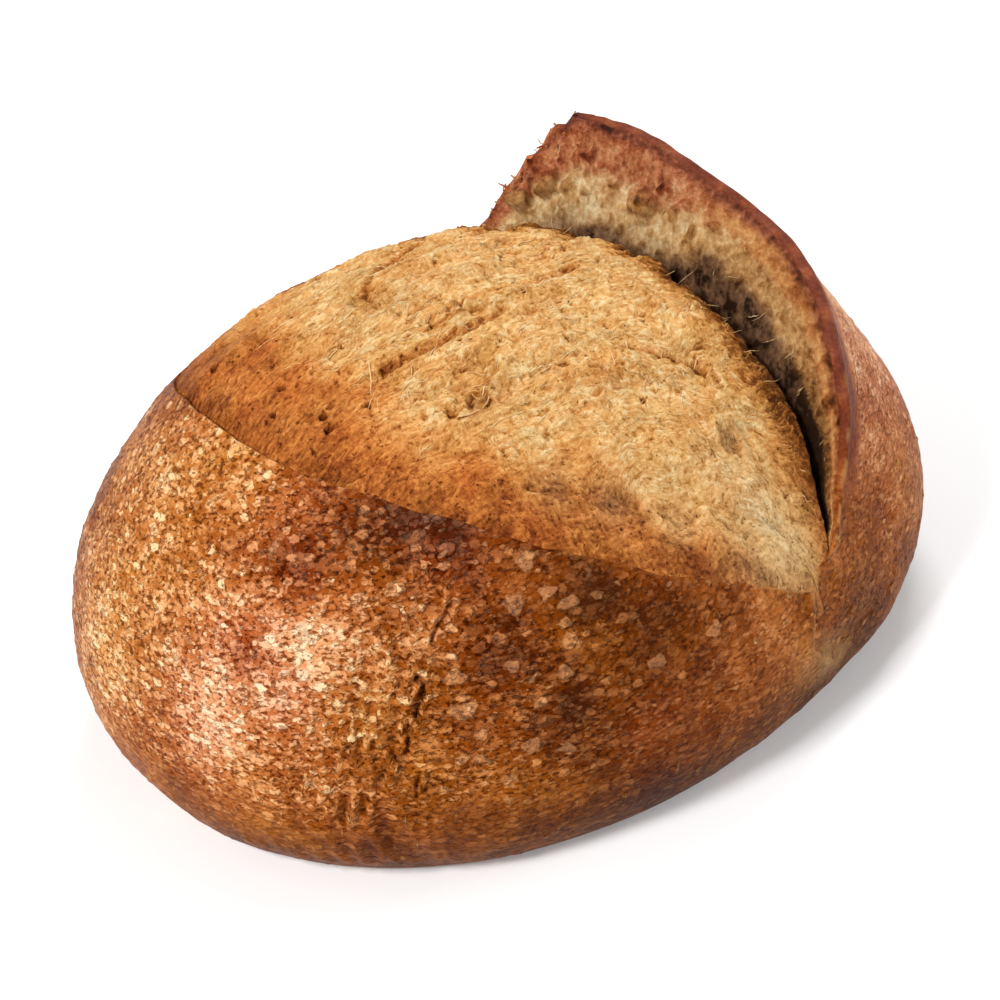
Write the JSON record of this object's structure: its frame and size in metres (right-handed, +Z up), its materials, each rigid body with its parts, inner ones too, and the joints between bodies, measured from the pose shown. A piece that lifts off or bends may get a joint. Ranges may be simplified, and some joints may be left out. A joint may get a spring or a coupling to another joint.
{
  "type": "sourdough loaf",
  "caption": "Rustic oval sourdough loaf on a flat base: a blistered brown crust scored along the top and torn open, with swelled golden crumb and a raised ear.",
  "frame": {"origin": "middle of the loaf's footprint, on its flat base", "axes": "+Z up; +X along the loaf's long axis, towards its end with the ear; -Y towards the end where the cut runs down to the base"},
  "size_m": [0.2828, 0.2319, 0.1462],
  "materials": {
    "baked_crust": "matt baked bread crust, blistered and mottled, with a torn golden crumb in the cut"
  },
  "bodies": {
    "root": {"loaf": "baked_crust"}
  },
  "joints": []
}
